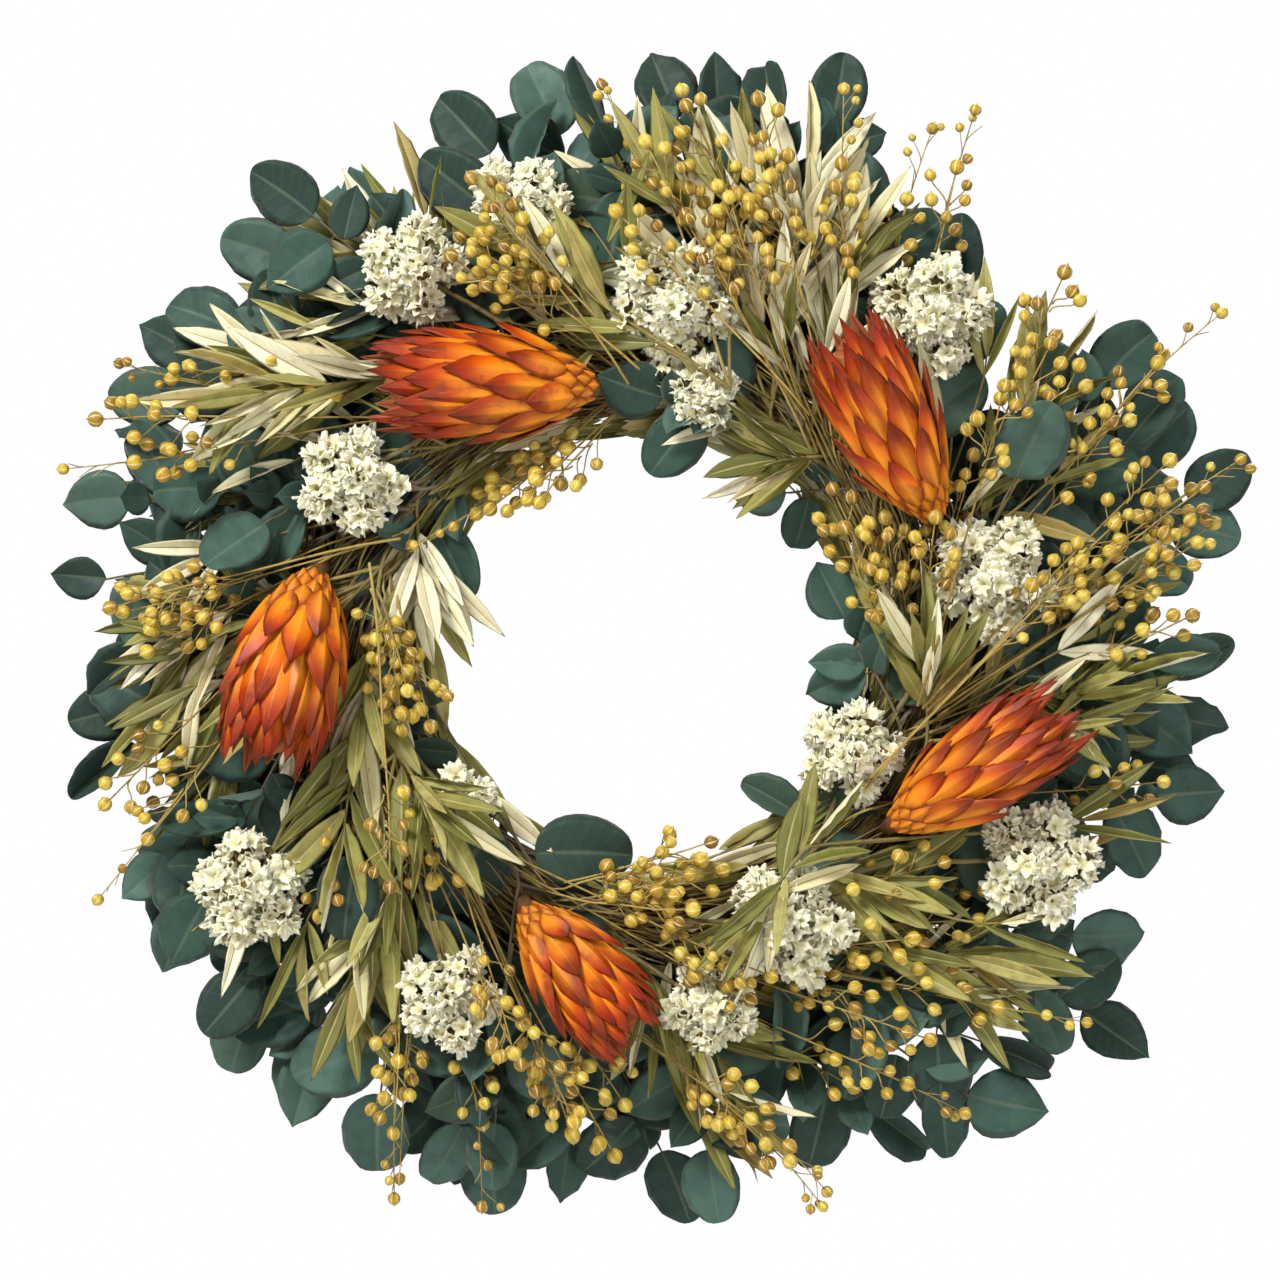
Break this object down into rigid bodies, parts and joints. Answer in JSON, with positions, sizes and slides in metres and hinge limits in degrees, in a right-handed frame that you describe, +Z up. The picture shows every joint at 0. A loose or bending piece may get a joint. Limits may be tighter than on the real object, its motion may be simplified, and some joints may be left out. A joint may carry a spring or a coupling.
{
  "type": "door wreath",
  "caption": "Round door wreath of dried foliage, seed pods, cream florets and orange protea heads on a vine ring with a wire hanging loop.",
  "frame": {"origin": "the point inside the top of the wire hanging loop where the nail or hook bears", "axes": "+X to the right as the front is seen, +Z up, front of the wreath towards -Y, back against the door towards +Y"},
  "size_m": [0.5619, 0.1175, 0.5647],
  "materials": {
    "binding_wire": "green-enamelled florist's wire",
    "eucalyptus": "dried dark blue-green leaves, matte",
    "flax": "dry golden seed pods on thin stalks",
    "hanger_ties": "dull annealed wire",
    "hanging_loop": "dull annealed wire",
    "olive": "dried green and cream leaves, satin",
    "protea": "dried bracts, satin, orange with brown tips",
    "statice": "papery cream florets, matte",
    "vine_hoop": "rough brown grapevine bark",
    "vine_ties": "thin brown vine, rough"
  },
  "bodies": {
    "wreath": {"binding_wire": "binding_wire", "eucalyptus_01": "eucalyptus", "eucalyptus_02": "eucalyptus", "eucalyptus_03": "eucalyptus", "eucalyptus_04": "eucalyptus", "eucalyptus_05": "eucalyptus", "eucalyptus_06": "eucalyptus", "eucalyptus_07": "eucalyptus", "eucalyptus_08": "eucalyptus", "eucalyptus_09": "eucalyptus", "eucalyptus_10": "eucalyptus", "eucalyptus_11": "eucalyptus", "flax_01": "flax", "flax_02": "flax", "flax_03": "flax", "flax_04": "flax", "flax_05": "flax", "flax_06": "flax", "flax_07": "flax", "flax_08": "flax", "flax_09": "flax", "flax_10": "flax", "hanger_ties": "hanger_ties", "olive_01": "olive", "olive_02": "olive", "olive_03": "olive", "olive_04": "olive", "olive_05": "olive", "olive_06": "olive", "olive_07": "olive", "olive_08": "olive", "olive_09": "olive", "olive_10": "olive", "protea_01": "protea", "protea_02": "protea", "protea_03": "protea", "protea_04": "protea", "protea_05": "protea", "statice_01": "statice", "statice_02": "statice", "statice_03": "statice", "statice_04": "statice", "statice_05": "statice", "statice_06": "statice", "statice_07": "statice", "statice_08": "statice", "statice_09": "statice", "statice_10": "statice", "statice_11": "statice", "statice_12": "statice", "statice_13": "statice", "vine_hoop_1": "vine_hoop", "vine_hoop_2": "vine_hoop", "vine_hoop_3": "vine_hoop", "vine_hoop_4": "vine_hoop", "vine_hoop_5": "vine_hoop", "vine_hoop_6": "vine_hoop", "vine_ties": "vine_ties"},
    "hanger": {"hanging_loop": "hanging_loop"}
  },
  "joints": [
    {"name": "hanger_hinge", "type": "hinge", "parent": "wreath", "child": "hanger", "pos_m": [0, 0, -0.036], "axis": [1, 0, 0], "range_deg": [-115, 15]}
  ]
}
